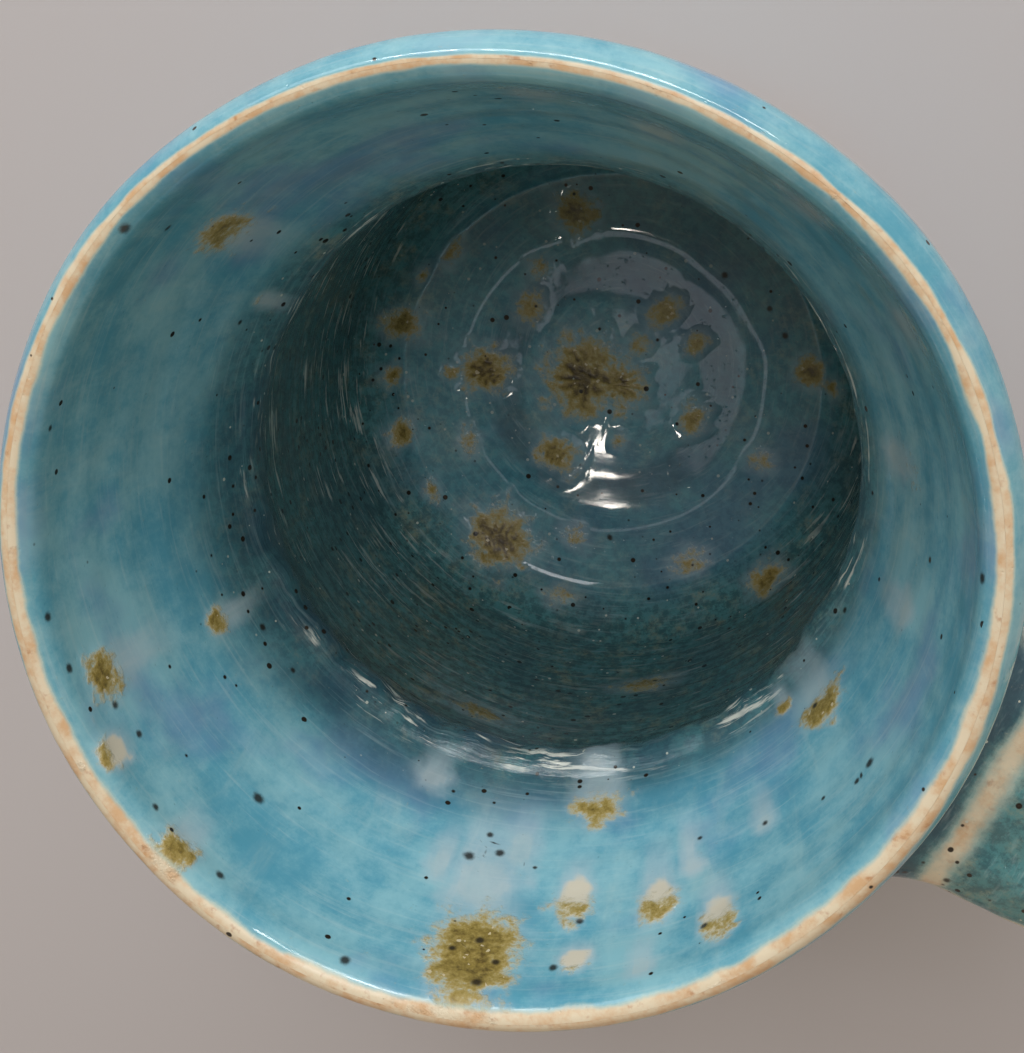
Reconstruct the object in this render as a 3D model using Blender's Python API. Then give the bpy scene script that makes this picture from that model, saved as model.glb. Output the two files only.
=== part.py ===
"""Hand-thrown stoneware mug: clay body, pulled strap handle, its two slipped roots and the coats of glaze.

The mug stands on z = 0 with its axis on Z, and the handle points along +X. Sizes are in metres.
"""

import math

import bmesh
import bpy
from mathutils import Vector
from mathutils.geometry import interpolate_bezier

# Coats of glaze, and the gap that keeps neighbouring solids apart
GLAZE = 0.0006
CLEARANCE = 0.0003

# Thrown body, over the glaze where it is an overall size and in bare clay elsewhere
HEIGHT = 0.0920          # foot to the glazed crest of the rim
RIM_RADIUS = 0.0440      # axis to the crest of the rim
CREST_INSET = 0.0012     # the crest stands this far outside the inner face of the lip
LIP_THICKNESS = 0.0036   # rounded lip, through the clay
LIP_DROP = 0.0030        # crest to where the lip's rounding ends
WALL = 0.0034            # clay wall below the lip
WAIST_RADIUS = 0.0340    # inside, at the crest of the throwing ridge
WAIST_DEPTH = 0.0380     # below the crest of the rim
RIDGE_PROUD = 0.0013     # the ridge stands this far in from the wall
RIDGE_HEIGHT = 0.0050    # half the height of the ridge
RIDGE_UNDERCUT = 10.0    # degrees from upright, where the wall draws back under the ridge
FLARE_SLOPE = 22.0       # degrees from upright, above the ridge
MOUTH_SLOPE = 6.0        # degrees from upright, under the lip
CHAMBER_RADIUS = 0.0361  # inside, at the fullest part below the ridge
FLOOR_THICKNESS = 0.0052
HEEL_RADIUS = 0.0085     # round corner between the inner wall and the floor
HEEL_INSET = 0.0010      # the wall has drawn in this far where that corner starts
HEEL_LEAN = 8.0          # degrees from upright, where that corner starts
FOOT_RADIUS = 0.0352     # flat face that the mug stands on
FOOT_BEVEL = 0.0018      # height of the trimmed edge round the foot
FOOT_LEAN = 20.0         # degrees from upright, where the wall runs in to the foot
BARE_FOOT = 0.0050       # unglazed height above the table

# Handle
HANDLE_DROP = 0.0150     # crest of the rim to the middle of the upper root
HANDLE_FOOT = 0.0255     # table to the middle of the lower root
UPPER_PULL = 0.0500      # how far the strap is pulled out before it turns down
UPPER_RISE = 12.0        # degrees above level where the strap leaves the wall
LOWER_PULL = 0.0490      # how far the lower end is pulled out from the wall
LOWER_RISE = 14.0        # degrees above level, looking out from the lower root
TOP_WIDTH = 0.0220
BOTTOM_WIDTH = 0.0170
STRAP_THICKNESS = 0.0068
STRAP_SQUARENESS = 2.6   # 2 is an oval section, larger is flatter on its faces
ROOT_LENGTH = 0.0070     # slipped root, from the wall to where the plain strap starts
ROOT_FLARE = 0.0028      # extra half width of a root where it meets the wall
ROOT_DEPTH = 0.0080      # a root is made this far into the wall, then cut by the wall

# Fineness
TURN_STEPS = 48
STRAP_SIDES = 18
STRAP_STATIONS = 17
ROOT_STATIONS = 4
CURVE_POINTS = 120
WELD = 0.000001
SMOOTH_ANGLE = 40.0

# Colours, linear
CLAY_COLOUR = (0.56, 0.44, 0.29)
SLIP_COLOUR = (0.50, 0.39, 0.26)
LINER_COLOUR = (0.06, 0.26, 0.32)
OUTER_COLOUR = (0.09, 0.37, 0.48)
HANDLE_COLOUR = (0.08, 0.27, 0.32)

SKIN = CLEARANCE + GLAZE
CLAY_TOP = HEIGHT - SKIN
WAIST_Z = HEIGHT - WAIST_DEPTH


def clear_scene():
    for thing in list(bpy.data.objects):
        bpy.data.objects.remove(thing, do_unlink=True)


def principled(name, colour, roughness):
    material = bpy.data.materials.new(name)
    material.use_nodes = True
    shader = material.node_tree.nodes["Principled BSDF"]
    shader.inputs["Base Color"].default_value = (*colour, 1.0)
    shader.inputs["Roughness"].default_value = roughness
    shader.inputs["Metallic"].default_value = 0.0
    return material


def add_object(name, bm, material=None):
    """Turns a bmesh into a closed, outward-facing, smooth-shaded object."""
    bmesh.ops.recalc_face_normals(bm, faces=bm.faces)
    mesh = bpy.data.meshes.new(name)
    bm.to_mesh(mesh)
    bm.free()
    mesh.shade_smooth()
    mesh.set_sharp_from_angle(angle=math.radians(SMOOTH_ANGLE))
    thing = bpy.data.objects.new(name, mesh)
    bpy.context.scene.collection.objects.link(thing)
    if material is None:
        thing.hide_render = True
        thing.display_type = "WIRE"
    else:
        mesh.materials.append(material)
    return thing


def cut(thing, cutter):
    modifier = thing.modifiers.new("cut by " + cutter.name, "BOOLEAN")
    modifier.operation = "DIFFERENCE"
    modifier.solver = "EXACT"
    modifier.object = cutter


# Turned profiles

def knot(radius, height, heading):
    """A point of a profile, with the direction in degrees in which the profile passes it."""
    angle = math.radians(heading)
    return Vector((radius, height)), Vector((math.cos(angle), math.sin(angle)))


def profile(knots, steps):
    """A smooth line through the knots, as (radius, height) points, with these steps between them."""
    points = [knots[0][0]]
    for (start, leave), (end, arrive), count in zip(knots, knots[1:], steps):
        reach = (end - start).length / 3
        line = interpolate_bezier(start, start + leave * reach, end - arrive * reach, end, count + 1)
        points += [Vector(point[:2]) for point in line[1:]]
    return points


def inner_profile():
    """Clay inside, from the crest of the rim down to the middle of the floor."""
    mouth = RIM_RADIUS - CREST_INSET
    chamber_z = (WAIST_Z - RIDGE_HEIGHT + FLOOR_THICKNESS + HEEL_RADIUS) / 2
    above = WAIST_RADIUS + RIDGE_PROUD / 2
    below = WAIST_RADIUS + RIDGE_PROUD
    knots = [
        knot(RIM_RADIUS, CLAY_TOP, 180),
        knot(mouth, CLAY_TOP - LIP_DROP, 270 - MOUTH_SLOPE),
        knot(above, WAIST_Z + RIDGE_HEIGHT, 270 - FLARE_SLOPE),
        knot(WAIST_RADIUS, WAIST_Z, 270),
        knot(below, WAIST_Z - RIDGE_HEIGHT, 270 + RIDGE_UNDERCUT),
        knot(CHAMBER_RADIUS, chamber_z, 270),
        knot(CHAMBER_RADIUS - HEEL_INSET, FLOOR_THICKNESS + HEEL_RADIUS, 270 - HEEL_LEAN),
        knot(CHAMBER_RADIUS - HEEL_RADIUS, FLOOR_THICKNESS, 180),
        knot(0.0, FLOOR_THICKNESS, 180),
    ]
    return profile(knots, [4, 4, 2, 2, 2, 2, 4, 1])


def outer_profile():
    """Clay outside, from the crest of the rim down to the line where the outer glaze stops."""
    lip = RIM_RADIUS - CREST_INSET + LIP_THICKNESS
    waist = WAIST_RADIUS + RIDGE_PROUD + WALL
    belly = CHAMBER_RADIUS + WALL
    belly_z = (WAIST_Z + BARE_FOOT) / 2
    knots = [
        knot(RIM_RADIUS, CLAY_TOP, 0),
        knot(lip, CLAY_TOP - LIP_DROP, 270 - MOUTH_SLOPE),
        knot(waist, WAIST_Z, 270),
        knot(belly, belly_z, 270),
        knot((belly + FOOT_RADIUS) / 2, BARE_FOOT, 270 - FOOT_LEAN),
    ]
    return profile(knots, [4, 5, 3, 4])


def offset(points, distance, side):
    """The line moved sideways by a distance; side is 1 for left of its direction and -1 for right."""
    moved = []
    for i, point in enumerate(points):
        before = points[max(i - 1, 0)]
        after = points[min(i + 1, len(points) - 1)]
        along = (after - before).normalized()
        spot = point + Vector((-along.y, along.x)) * distance * side
        if point.x == 0.0:
            spot.x = 0.0
        moved.append(spot)
    return moved


def turned(name, points, closed, material=None):
    """Spins a line of (radius, height) points round Z; closed joins its last point to its first."""
    bm = bmesh.new()
    verts = [bm.verts.new((p.x, 0.0, p.y)) for p in points]
    pairs = list(zip(verts, verts[1:]))
    if closed:
        pairs.append((verts[-1], verts[0]))
    edges = [bm.edges.new(pair) for pair in pairs]
    bmesh.ops.spin(
        bm,
        geom=verts + edges,
        cent=(0, 0, 0),
        axis=(0, 0, 1),
        angle=math.tau,
        steps=TURN_STEPS,
        use_merge=True,
    )
    bmesh.ops.remove_doubles(bm, verts=bm.verts, dist=WELD)
    return add_object(name, bm, material)


def trimmed(points, distance):
    """The line with its start moved along by a distance."""
    step = points[1] - points[0]
    return [points[0] + step.normalized() * distance] + points[1:]


INSIDE = inner_profile()
OUTSIDE = outer_profile()


def wall_radius(height):
    """Radius of the clay outside at a height."""
    for upper, lower in zip(OUTSIDE, OUTSIDE[1:]):
        if lower.y <= height <= upper.y:
            share = (upper.y - height) / (upper.y - lower.y)
            return upper.x + (lower.x - upper.x) * share
    raise ValueError("no wall at this height")


def wall_cutter(name, distance):
    """The space inside the clay's outer face moved out by a distance."""
    face = offset(OUTSIDE, distance, 1)
    return turned(name, [Vector((0, face[0].y))] + face + [Vector((0, face[-1].y))], False)


# Strap handle, lofted along one curve in the XZ plane

def strap_curve():
    """Points along the middle of the strap, from the clay at the upper root to the lower root."""
    upper_z = HEIGHT - HANDLE_DROP
    upper = Vector((wall_radius(upper_z), 0, upper_z))
    lower = Vector((wall_radius(HANDLE_FOOT), 0, HANDLE_FOOT))
    rise = math.radians(UPPER_RISE)
    dip = math.radians(LOWER_RISE)
    out = upper + Vector((math.cos(rise), 0, math.sin(rise))) * UPPER_PULL
    back = lower + Vector((math.cos(dip), 0, math.sin(dip))) * LOWER_PULL
    return interpolate_bezier(upper, out, back, lower, CURVE_POINTS)


CURVE = strap_curve()
STEPS = [(b - a).length for a, b in zip(CURVE, CURVE[1:])]
STRAP_LENGTH = sum(STEPS)


def on_strap(distance):
    """Place and direction on the strap's middle line, which runs straight on past both of its ends."""
    travelled = 0.0
    last = len(STEPS) - 1
    for i, step in enumerate(STEPS):
        if distance <= travelled + step or i == last:
            along = (CURVE[i + 1] - CURVE[i]).normalized()
            return CURVE[i] + along * (distance - travelled), along
        travelled += step


def section(distance, extra):
    """One ring of points round the strap, grown all round by an extra thickness."""
    middle, along = on_strap(distance)
    share = min(max(distance / STRAP_LENGTH, 0.0), 1.0)
    from_wall = max(min(distance, STRAP_LENGTH - distance), 0.0)
    flare = ROOT_FLARE * max(1.0 - from_wall / ROOT_LENGTH, 0.0) ** 2
    half_width = (TOP_WIDTH + (BOTTOM_WIDTH - TOP_WIDTH) * share) / 2 + flare + extra
    half_thickness = STRAP_THICKNESS / 2 + flare + extra
    across = Vector((0, 1, 0))
    over = along.cross(across)
    ring = []
    for i in range(STRAP_SIDES):
        angle = math.tau * i / STRAP_SIDES
        wide = math.copysign(abs(math.cos(angle)) ** (2 / STRAP_SQUARENESS), math.cos(angle))
        thick = math.copysign(abs(math.sin(angle)) ** (2 / STRAP_SQUARENESS), math.sin(angle))
        ring.append(middle + across * half_width * wide + over * half_thickness * thick)
    return ring


def skin_rings(bm, rings):
    """Adds rings of points and the faces between them, and returns the rings as verts."""
    rows = [[bm.verts.new(point) for point in ring] for ring in rings]
    for near, far in zip(rows, rows[1:]):
        for i in range(STRAP_SIDES):
            j = (i + 1) % STRAP_SIDES
            bm.faces.new((near[i], near[j], far[j], far[i]))
    return rows


def lofted(name, distances, extra, material=None):
    """A solid through the strap's sections at these distances."""
    bm = bmesh.new()
    rows = skin_rings(bm, [section(d, extra) for d in distances])
    bm.faces.new(rows[0])
    bm.faces.new(rows[-1])
    return add_object(name, bm, material)


def sleeve(name, distances, inside, outside, material):
    """A tube round the strap, open at both ends, between two extra thicknesses."""
    bm = bmesh.new()
    inner = skin_rings(bm, [section(d, inside) for d in distances])
    outer = skin_rings(bm, [section(d, outside) for d in distances])
    for end in (0, -1):
        for i in range(STRAP_SIDES):
            j = (i + 1) % STRAP_SIDES
            bm.faces.new((inner[end][i], inner[end][j], outer[end][j], outer[end][i]))
    return add_object(name, bm, material)


def root_stations():
    """Distances along a root, from inside the wall to the plain strap."""
    return [-ROOT_DEPTH] + [ROOT_LENGTH * i / ROOT_STATIONS for i in range(ROOT_STATIONS + 1)]


def strap_stations():
    start = ROOT_LENGTH + CLEARANCE
    length = STRAP_LENGTH - 2 * start
    return [start + length * i / (STRAP_STATIONS - 1) for i in range(STRAP_STATIONS)]


def mirrored(distances):
    """The same distances counted from the other end of the strap."""
    return [STRAP_LENGTH - d for d in reversed(distances)]


def build():
    clear_scene()
    clay = principled("buff_stoneware", CLAY_COLOUR, 0.75)
    slip = principled("joining_slip", SLIP_COLOUR, 0.8)
    liner = principled("turquoise_liner_glaze", LINER_COLOUR, 0.12)
    dipped = principled("turquoise_dipped_glaze", OUTER_COLOUR, 0.12)
    brushed = principled("turquoise_handle_glaze", HANDLE_COLOUR, 0.15)

    foot = [Vector((FOOT_RADIUS + FOOT_BEVEL / 2, FOOT_BEVEL)), Vector((FOOT_RADIUS, 0)), Vector((0, 0))]
    pieces = [turned("thrown_body", INSIDE[::-1] + OUTSIDE[1:] + foot, False, clay)]

    inside = trimmed(INSIDE, CLEARANCE / 2)
    coat = offset(inside, SKIN, -1)[::-1] + offset(inside, CLEARANCE, -1)
    pieces.append(turned("liner_glaze", coat, False, liner))

    outside = trimmed(OUTSIDE, CLEARANCE / 2)
    coat = offset(outside, SKIN, 1) + offset(outside, CLEARANCE, 1)[::-1]
    outer = turned("outer_glaze", coat, True, dipped)
    pieces.append(outer)

    clay_space = wall_cutter("clay_space", CLEARANCE)
    roots = {"upper": root_stations(), "lower": mirrored(root_stations())}
    for place, stations in roots.items():
        root = lofted(place + "_handle_joint", stations, 0.0, slip)
        cut(root, clay_space)
        window = lofted(place + "_glaze_window", stations, CLEARANCE)
        cut(outer, window)
        pieces.append(root)

    pieces.append(lofted("strap_handle", strap_stations(), 0.0, clay))
    stations = roots["upper"] + strap_stations()[1:-1] + roots["lower"]
    coat = sleeve("handle_glaze", stations, CLEARANCE, SKIN, brushed)
    cut(coat, wall_cutter("glazed_wall_space", SKIN + CLEARANCE))
    pieces.append(coat)

    mug = bpy.data.objects.new("mug", None)
    bpy.context.scene.collection.objects.link(mug)
    for piece in pieces:
        piece.parent = mug
    print("strap length %.1f mm" % (STRAP_LENGTH * 1000))


build()
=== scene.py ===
# %% [markdown]
# # A hand-thrown mug with a running turquoise glaze
# The mug is stoneware, thrown on a wheel, with a pulled strap handle. Its glaze is a reactive one: it
# ran in the kiln, thinned to a buff line on the rim and grew golden-brown crystals with milky trails.
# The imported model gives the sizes. This file adds the surface that a hand and a kiln leave behind:
# throwing rings, a rim that isn't quite round, crystals that stand proud and a bare clay foot.

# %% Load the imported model
import math

import bpy
import numpy as np
from mathutils import Matrix, Vector
from mathutils.bvhtree import BVHTree


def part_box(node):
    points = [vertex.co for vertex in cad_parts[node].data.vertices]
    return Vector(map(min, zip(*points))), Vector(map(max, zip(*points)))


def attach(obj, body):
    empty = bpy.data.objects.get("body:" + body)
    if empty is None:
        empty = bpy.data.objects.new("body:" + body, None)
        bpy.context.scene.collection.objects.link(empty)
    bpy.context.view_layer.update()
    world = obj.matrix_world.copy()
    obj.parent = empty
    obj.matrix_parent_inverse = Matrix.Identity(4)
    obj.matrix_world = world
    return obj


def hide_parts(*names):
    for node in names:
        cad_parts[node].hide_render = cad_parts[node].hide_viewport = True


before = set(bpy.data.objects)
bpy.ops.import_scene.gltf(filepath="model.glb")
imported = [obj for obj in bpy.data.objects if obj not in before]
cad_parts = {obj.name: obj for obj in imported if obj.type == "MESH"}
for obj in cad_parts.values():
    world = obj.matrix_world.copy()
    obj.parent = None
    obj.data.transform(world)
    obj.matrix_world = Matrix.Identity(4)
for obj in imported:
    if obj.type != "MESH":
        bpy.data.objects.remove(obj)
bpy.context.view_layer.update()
MM = 0.001
print("packed nodes:", sorted(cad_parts))

# %% [markdown]
# ## Camera
# The picture looks down into the mug from above and a little behind the handle's left. The camera is
# placed by real distances: its height over the rim, how far it stands aside, and a lens worked out from
# the size of the rim in the picture. The picture's upward side lies 115 degrees round from the handle.

# %% Place the camera
PICTURE_WIDTH = 1024
PICTURE_HEIGHT = 1053
FOCAL_PIXELS = 1728
SENSOR_MM = 36.0
CAMERA_SPOT = Vector((6.2, 54.9, 232.0))
CAMERA_LOOK = Vector((-0.043, -0.351, -1.0)).normalized()
PICTURE_UP_BEARING = 115.0


def bearing(degrees):
    """Level direction this many degrees round from the handle, counted anticlockwise from above."""
    return Vector((math.cos(math.radians(degrees)), math.sin(math.radians(degrees)), 0.0))


picture_right = CAMERA_LOOK.cross(bearing(PICTURE_UP_BEARING)).normalized()
picture_up = picture_right.cross(CAMERA_LOOK)
camera_data = bpy.data.cameras.new("picture_camera")
camera_data.sensor_width = SENSOR_MM
camera_data.lens = FOCAL_PIXELS * SENSOR_MM / max(PICTURE_WIDTH, PICTURE_HEIGHT)
camera_data.clip_start = 0.01
camera = bpy.data.objects.new("picture_camera", camera_data)
turn = Matrix((picture_right, picture_up, -CAMERA_LOOK)).transposed().to_4x4()
camera.matrix_world = Matrix.Translation(CAMERA_SPOT * MM) @ turn
bpy.context.scene.collection.objects.link(camera)
bpy.context.scene.camera = camera
print("lens %.1f mm" % camera_data.lens)

# %% [markdown]
# ## Outlines to turn
# A thrown pot is a turned shape, so two outlines in a half plane describe it. Each outline is a smooth
# line through a few knots, and each knot has a radius, a height and the direction in which the line
# passes it. The sizes are those of the packed clay body, apart from a lip that is up to 1.2 mm finer on
# its outside. The glaze stands one skin proud of the clay.

# %% Draw the clay outlines and the glaze over them
SKIN = 0.9
CREST = 91.0
INSIDE_KNOTS = [
    (44.0, CREST, 180), (43.25, 90.4, 240), (42.75, 87.8, 264), (34.65, 59.0, 248), (34.0, 54.0, 270),
    (35.3, 49.0, 280), (36.1, 31.3, 270), (35.1, 13.7, 262), (27.6, 5.2, 180), (0.0, 5.2, 180),
]
OUTSIDE_KNOTS = [
    (44.0, CREST, 0), (44.6, 90.4, 302), (45.0, 86.8, 266), (38.7, 54.0, 270), (39.5, 29.5, 270),
    (37.35, 5.0, 250), (36.1, 1.8, 250), (35.2, 0.3, 225), (34.2, 0.0, 180), (0.0, 0.0, 180),
]


def outline(knots, proud, steps=200):
    """Points (radius, height) along the knots, moved out of the clay by a distance, and the way out."""
    spots = np.array([knot[:2] for knot in knots], float)
    angles = np.radians([knot[2] for knot in knots])
    ways = np.stack([np.cos(angles), np.sin(angles)], axis=1)
    t = np.linspace(0, 1, steps, endpoint=False)[:, None]
    line = []
    for i in range(len(knots) - 1):
        reach = np.linalg.norm(spots[i + 1] - spots[i]) / 3
        near = spots[i] + ways[i] * reach
        far = spots[i + 1] - ways[i + 1] * reach
        line.append((1 - t) ** 3 * spots[i] + 3 * (1 - t) ** 2 * t * near
                    + 3 * (1 - t) * t ** 2 * far + t ** 3 * spots[i + 1])
    line = np.concatenate(line + [spots[-1:]])
    along = np.gradient(line, axis=0)
    along /= np.linalg.norm(along, axis=1)[:, None]
    side = 1 if knots[0][2] == 0 else -1
    out = np.stack([-along[:, 1], along[:, 0]], axis=1) * side
    return line + out * proud, out


def travelled(line):
    """Distance from the start of a line to each of its points."""
    return np.concatenate([[0.0], np.cumsum(np.linalg.norm(np.diff(line, axis=0), axis=1))])


INSIDE, INSIDE_OUT = outline(INSIDE_KNOTS, SKIN)
INSIDE_S = travelled(INSIDE)
OUTSIDE, OUTSIDE_OUT = outline(OUTSIDE_KNOTS, SKIN)
print("crest to the middle of the floor: %.1f mm along the glaze" % INSIDE_S[-1])
liner_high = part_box("liner_glaze")[1]
print("glaze inside reaches %.1f mm, packed %.1f mm" % (INSIDE[:, 1].max(), liner_high[2] / MM))

# %% [markdown]
# ## From outline to hand-made surface
# A turned shape alone is too perfect. Wet clay is soft, so the rim ends up a little oval and the pull of
# the handle draws it in. The glaze lies in slow swells too. Both are worked out for every point of a
# dense grid: a few low waves round the rim, and smooth random swells made of many faint ripples.

# %% Turn an outline into a grid of points
COLUMNS = 384
TURN = np.linspace(0, math.tau, COLUMNS, endpoint=False)
RIM_WAVES = [(1, 0.42, 175.0), (2, 0.36, 66.0), (3, 0.24, 43.0), (7, 0.05, 10.0), (11, 0.03, 31.0)]
CREST_WAVES = [(2, 0.10, 20.0), (3, 0.08, 75.0), (5, 0.05, 12.0)]
STIFF_HEIGHT = 50.0
LIP_HEIGHT = 84.0


def smooth(low, high, values):
    """Rises smoothly from 0 at low to 1 at high."""
    share = np.clip((values - low) / (high - low), 0.0, 1.0)
    return share * share * (3 - 2 * share)


def waves(turns, parts):
    """Sum of waves round the mug, each with its count, its height in mm and the bearing of a crest."""
    return sum(size * np.cos(count * (turns - math.radians(crest))) for count, size, crest in parts)


def swells(points, size, seed, ripples=28):
    """Smooth random values, about -1 to 1, whose swells are about this many millimetres apart."""
    chance = np.random.default_rng(seed)
    ways = chance.normal(size=(ripples, 3))
    ways /= np.linalg.norm(ways, axis=1)[:, None]
    ways *= math.tau / (size * chance.uniform(0.7, 1.6, size=(ripples, 1)))
    starts = chance.uniform(0, math.tau, size=ripples)
    return np.cos(points @ ways.T + starts).sum(axis=-1) / math.sqrt(2 * ripples)


def turned_grid(line, out, distances):
    """Points and outward directions on a turned outline, one row for each distance along it."""
    s = travelled(line)
    radius, height = (np.interp(distances, s, line[:, i])[:, None] for i in (0, 1))
    out_r, out_z = (np.interp(distances, s, out[:, i])[:, None] for i in (0, 1))
    sway = smooth(STIFF_HEIGHT, CREST, height)
    near_axis = smooth(0.0, 20.0, radius)
    wide = radius + waves(TURN, RIM_WAVES) * sway * near_axis
    tall = height + waves(TURN, CREST_WAVES) * smooth(LIP_HEIGHT, CREST, height)
    across, deep = np.cos(TURN), np.sin(TURN)
    points = np.stack([wide * across, wide * deep, tall + 0 * wide], axis=-1)
    outward = np.stack([out_r * across, out_r * deep, out_z + 0 * wide], axis=-1)
    return points, outward


def rows_between(stops, gaps):
    """Distances along an outline: each stretch between two stops is divided into steps of its own gap."""
    rows = [stops[0]]
    for start, end, gap in zip(stops, stops[1:], gaps):
        rows += list(np.linspace(start, end, max(2, round((end - start) / gap) + 1))[1:])
    return np.array(rows)


def distance_at(line, height, start=0.0):
    """Distance along an outline to where it first comes down to a height."""
    s = travelled(line)
    spots = np.nonzero((line[:, 1] <= height) & (s >= start))[0]
    return s[spots[0]]


WAIST_S = distance_at(INSIDE, 54.0)
HEEL_S = distance_at(INSIDE, 12.0)
FLOOR_END_S = INSIDE_S[-1]
print("waist %.1f mm and heel %.1f mm down the inside" % (WAIST_S, HEEL_S))

# %% [markdown]
# ## Where the picture shows a bloom
# Crystal blooms, milky trails and iron specks are where they are on this mug, so each is placed by the
# pixel at which it shows. A line from the camera through that pixel meets the turned inside of the mug,
# and the mark is then kept as a place on the glaze, so it stays put when seen from any side.

# %% Find places on the glaze from pixels
inside_rows = rows_between([0.0, FLOOR_END_S - 0.01], [1.5])
inside_points = turned_grid(INSIDE, INSIDE_OUT, inside_rows)[0]
rows, columns = inside_points.shape[:2]
index = np.arange(rows * columns).reshape(rows, columns)
quads = np.stack([index[:-1], np.roll(index[:-1], -1, 1), np.roll(index[1:], -1, 1), index[1:]], -1)
inside_tree = BVHTree.FromPolygons(inside_points.reshape(-1, 3).tolist(), quads.reshape(-1, 4).tolist())


def place_of(pixel):
    """Place in mm on the inside of the mug that shows at this pixel of the picture, or None."""
    over, down = pixel[0] - PICTURE_WIDTH / 2, pixel[1] - PICTURE_HEIGHT / 2
    ray = CAMERA_LOOK * FOCAL_PIXELS + picture_right * over - picture_up * down
    return inside_tree.ray_cast(CAMERA_SPOT, ray)[0]


FLOOR_PIXEL = (611, 370)
print("floor seen at %s: %s" % (FLOOR_PIXEL, [round(v, 1) for v in place_of(FLOOR_PIXEL)]))

# %% [markdown]
# A bloom on the wall has a gold crescent at its upper end, where the crystals sit, a pearly middle, and a
# milky trail below, where the glaze ran on down the wall. Its sizes are in millimetres: width, height, the
# share of it that is gold, and how far its trail runs. On the floor the glaze had nowhere to run, so a
# bloom there is all crystals, with a width, a height and how dense they are.

# %% List the blooms and the iron specks
WALL_BLOOMS = {
    (598, 802): (6.6, 8.0, 0.54, 14.0), (575, 898): (4.2, 8.0, 0.34, 8.0),
    (658, 900): (4.2, 8.6, 0.44, 12.0), (718, 917): (4.2, 8.4, 0.42, 10.0),
    (575, 960): (3.8, 4.4, 0.22, 4.0), (474, 956): (10.2, 15.5, 1.00, 14.0),
    (822, 704): (7.2, 6.4, 0.64, 14.0), (785, 703): (2.4, 2.6, 0.50, 4.0),
    (106, 673): (5.6, 7.4, 0.66, 14.0), (113, 750): (3.8, 5.0, 0.30, 5.0),
    (180, 846): (4.8, 6.4, 0.58, 8.0), (221, 619): (3.4, 4.6, 0.55, 9.0),
    (232, 232): (6.2, 11.0, 0.52, 13.0), (265, 300): (2.6, 4.4, 0.20, 6.0),
    (906, 325): (5.6, 11.0, 0.12, 7.0), (806, 207): (5.4, 11.0, 0.12, 7.0),
    (658, 130): (5.4, 10.0, 0.11, 6.0), (527, 92): (5.4, 9.0, 0.11, 6.0),
    (900, 460): (4.6, 10.0, 0.13, 6.0), (441, 862): (3.6, 6.0, 0.00, 8.0),
    (432, 778): (5.0, 4.0, 0.00, 6.0), (482, 884): (9.0, 12.0, 0.00, 16.0),
    (520, 850): (5.0, 8.0, 0.00, 9.0), (690, 866): (3.0, 4.0, 0.00, 10.0),
    (765, 822): (3.4, 4.0, 0.00, 8.0), (905, 612): (4.4, 4.0, 0.00, 9.0), (640, 968): (3.4, 4.0, 0.00, 7.0),
}
FLOOR_BLOOMS = {
    (583, 376): (12.0, 11.0, 1.00), (624, 385): (7.0, 6.4, 0.84), (486, 370): (7.0, 7.6, 0.95),
    (500, 537): (10.4, 9.2, 1.00), (557, 455): (6.8, 5.4, 0.82), (577, 212): (6.2, 6.0, 0.90),
    (398, 320): (4.8, 8.0, 0.86), (388, 372): (3.4, 4.4, 0.80), (398, 432): (4.4, 5.4, 0.86),
    (430, 490): (3.6, 3.6, 0.62), (530, 308): (5.2, 4.6, 0.66), (665, 312): (4.2, 6.4, 0.74),
    (697, 345): (3.2, 4.0, 0.72), (693, 418): (5.0, 4.2, 0.74), (812, 370): (4.4, 4.6, 0.92),
    (840, 385): (3.2, 4.2, 0.62), (770, 582): (6.4, 5.2, 0.80), (645, 685): (8.0, 5.0, 0.64),
    (480, 712): (8.0, 4.4, 0.62), (452, 372): (2.6, 2.8, 0.72), (455, 250): (4.6, 3.0, 0.60),
    (640, 345): (4.0, 3.6, 0.56), (540, 268): (3.6, 3.6, 0.52), (470, 440): (4.2, 3.6, 0.52),
    (575, 535): (4.0, 3.6, 0.50), (690, 560): (5.6, 4.6, 0.52), (760, 460): (3.6, 4.0, 0.50),
    (420, 270): (3.4, 2.6, 0.58), (560, 600): (5.0, 3.6, 0.50), (620, 440): (2.6, 2.4, 0.54),
}
IRON_SPECKS = {
    (125, 228): 0.55, (168, 228): 0.40, (50, 428): 0.30, (48, 617): 0.45, (69, 668): 0.50, (115, 705): 0.45,
    (139, 734): 0.40, (258, 798): 0.65, (156, 807): 0.40, (220, 875): 0.50, (469, 856): 0.60,
    (500, 853): 0.52, (490, 835): 0.38, (345, 960): 0.55, (553, 968): 0.45, (477, 984): 0.60,
    (870, 763): 0.55, (857, 781): 0.38, (983, 578): 0.50, (263, 627): 0.45, (293, 670): 0.35,
    (610, 537): 0.42, (725, 275): 0.45, (240, 322): 0.32, (580, 922): 0.42, (785, 335): 0.48,
    (770, 308): 0.38, (930, 560): 0.32, (845, 610): 0.32, (705, 927): 0.42, (823, 798): 0.30,
    (452, 950): 0.40, (496, 964): 0.42, (765, 823): 0.34, (700, 838): 0.30, (535, 868): 0.26,
    (480, 942): 0.50, (816, 706): 0.42,
}
print("blooms listed: %d, specks listed: %d" % (len(WALL_BLOOMS) + len(FLOOR_BLOOMS), len(IRON_SPECKS)))

# %% [markdown]
# How much crystal or milk a point of the glaze has is worked out from where it lies in a bloom: across it
# and down the wall. The outline is frayed by swells, and blooms on the floor get spokes, as the crystals
# there grew outwards from one seed. An iron speck is kept as the way from its middle, so that the material
# can draw a round dot finer than the mesh.

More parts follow.
